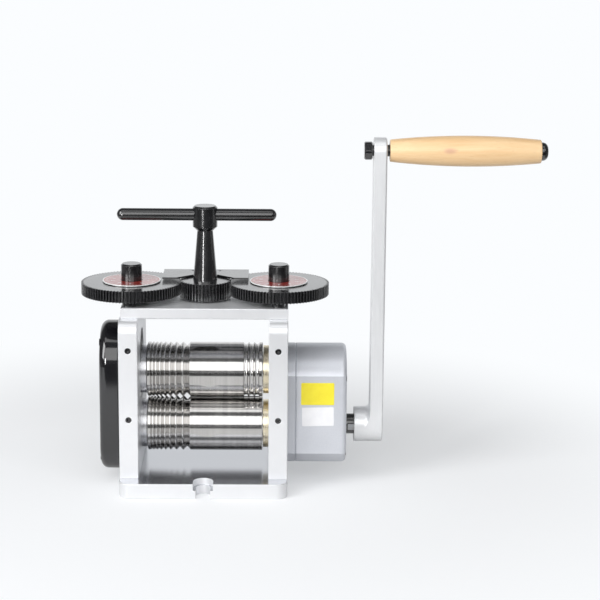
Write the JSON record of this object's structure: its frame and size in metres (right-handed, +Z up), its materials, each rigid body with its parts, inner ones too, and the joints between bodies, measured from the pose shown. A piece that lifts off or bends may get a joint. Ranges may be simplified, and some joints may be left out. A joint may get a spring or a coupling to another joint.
{
  "type": "jewellers rolling mill",
  "caption": "Hand cranked bench mill with two grooved steel rolls between uprights, a geared screw-down with T-handle, reduction gearbox and wooden grip.",
  "frame": {"origin": "centre of the base plate's underside, on the bench", "axes": "+X towards the crank, along the rolls; +Y to the back, the way the metal is fed; +Z up"},
  "size_m": [0.3034, 0.1028, 0.2302],
  "materials": {
    "satin_plate": "satin plated, milled steel",
    "ground_steel": "ground and polished tool steel",
    "bronze": "turned bearing bronze",
    "black_oxide": "black oxide, slightly oiled",
    "gear_steel": "cut steel, greased",
    "spring_steel": "drawn spring wire",
    "dial_red": "printed disc, red with a white rim",
    "guard_black": "moulded, semi-gloss black",
    "gearbox_silver": "cast, silver powder coat",
    "crank_aluminium": "cast and linished, satin",
    "spacer_steel": "blackened",
    "grip_wood": "turned pale hardwood, thin clear varnish"
  },
  "bodies": {
    "frame": {"base_plate": "satin_plate", "left_upright": "satin_plate", "right_upright": "satin_plate", "base_screws": "black_oxide", "top_plate": "satin_plate", "top_plate_screws": "black_oxide", "grub_screws": "black_oxide", "lower_left_bush": "ground_steel", "lower_right_bush": "bronze", "left_springs": "spring_steel", "right_springs": "spring_steel", "retainer_block": "black_oxide", "retainer_plate": "black_oxide", "retainer_screws": "black_oxide", "column_bush": "bronze", "guard_back_plate": "guard_black", "gear_guard": "guard_black", "guard_screws": "black_oxide", "gearbox_back_plate": "gearbox_silver", "gearbox_cover": "gearbox_silver", "gearbox_screws": "black_oxide", "layshaft_bushes": "bronze", "crankshaft_bush": "bronze"},
    "t_handle": {"centre_gear": "black_oxide", "t_column": "black_oxide", "t_bar": "black_oxide", "column_nut": "black_oxide"},
    "left_gear": {"left_adjusting_gear": "black_oxide", "left_dial": "dial_red"},
    "right_gear": {"right_adjusting_gear": "black_oxide", "right_dial": "dial_red"},
    "left_screw": {"left_adjusting_screw": "black_oxide"},
    "right_screw": {"right_adjusting_screw": "black_oxide"},
    "upper_carriage": {"upper_left_block": "ground_steel", "upper_right_block": "ground_steel", "upper_left_bush": "ground_steel", "upper_right_bush": "bronze"},
    "upper_roll": {"upper_roll": "ground_steel", "upper_sync_gear": "gear_steel", "upper_sync_key": "gear_steel", "upper_sync_clip": "gear_steel"},
    "lower_roll": {"lower_roll": "ground_steel", "lower_sync_gear": "gear_steel", "lower_sync_key": "gear_steel", "lower_sync_clip": "gear_steel", "drive_gear": "gear_steel", "drive_gear_key": "gear_steel", "drive_gear_clip": "gear_steel"},
    "layshaft": {"layshaft": "gear_steel", "layshaft_wheel": "gear_steel", "layshaft_key": "gear_steel"},
    "crank": {"crankshaft": "black_oxide", "crank_key": "gear_steel", "crank_arm": "crank_aluminium", "crank_grub_screw": "black_oxide", "handle_bolt": "black_oxide", "handle_nut": "black_oxide", "handle_spacers": "spacer_steel"},
    "grip": {"wooden_grip": "grip_wood"}
  },
  "joints": [
    {"name": "carriage_slide", "type": "slide", "parent": "frame", "child": "upper_carriage", "axis": [0, 0, 1], "range_m": [-0.001, 0.0038], "deforming": ["left_springs", "right_springs"]},
    {"name": "handle_turn", "type": "hinge", "parent": "frame", "child": "t_handle", "pos_m": [0, 0, 0.128], "axis": [0, 0, 1], "range_deg": [-1370, 362]},
    {"name": "left_gear_turn", "type": "hinge", "parent": "frame", "child": "left_gear", "pos_m": [-0.0483, 0, 0.128], "axis": [0, 0, 1], "range_deg": [-181, 685]},
    {"name": "right_gear_turn", "type": "hinge", "parent": "frame", "child": "right_gear", "pos_m": [0.0483, 0, 0.128], "axis": [0, 0, 1], "range_deg": [-181, 685]},
    {"name": "left_screw_slide", "type": "slide", "parent": "left_gear", "child": "left_screw", "axis": [0, 0, 1], "range_m": [-0.00101, 0.00381]},
    {"name": "right_screw_slide", "type": "slide", "parent": "right_gear", "child": "right_screw", "axis": [0, 0, 1], "range_m": [-0.00101, 0.00381]},
    {"name": "upper_roll_spin", "type": "hinge", "parent": "upper_carriage", "child": "upper_roll", "pos_m": [0, 0, 0.0734], "axis": [1, 0, 0], "continuous": true},
    {"name": "lower_roll_spin", "type": "hinge", "parent": "frame", "child": "lower_roll", "pos_m": [0, 0, 0.0362], "axis": [1, 0, 0], "continuous": true},
    {"name": "layshaft_spin", "type": "hinge", "parent": "frame", "child": "layshaft", "pos_m": [0.075, 0, 0.0612], "axis": [1, 0, 0], "continuous": true},
    {"name": "crank_turn", "type": "hinge", "parent": "frame", "child": "crank", "pos_m": [0.09, 0, 0.0362], "axis": [1, 0, 0], "continuous": true},
    {"name": "grip_spin", "type": "hinge", "parent": "crank", "child": "grip", "pos_m": [0.168, 0, 0.2202], "axis": [1, 0, 0], "continuous": true}
  ],
  "couplings": [
    {"joint": "handle_turn", "follows": "carriage_slide", "rad_per_m": -6283.2},
    {"joint": "left_gear_turn", "follows": "carriage_slide", "rad_per_m": 3141.6},
    {"joint": "right_gear_turn", "follows": "carriage_slide", "rad_per_m": 3141.6},
    {"joint": "left_screw_slide", "follows": "carriage_slide", "ratio": 1},
    {"joint": "right_screw_slide", "follows": "carriage_slide", "ratio": 1},
    {"joint": "layshaft_spin", "follows": "crank_turn", "ratio": -0.6},
    {"joint": "lower_roll_spin", "follows": "crank_turn", "ratio": 0.4},
    {"joint": "upper_roll_spin", "follows": "crank_turn", "ratio": -0.4}
  ]
}
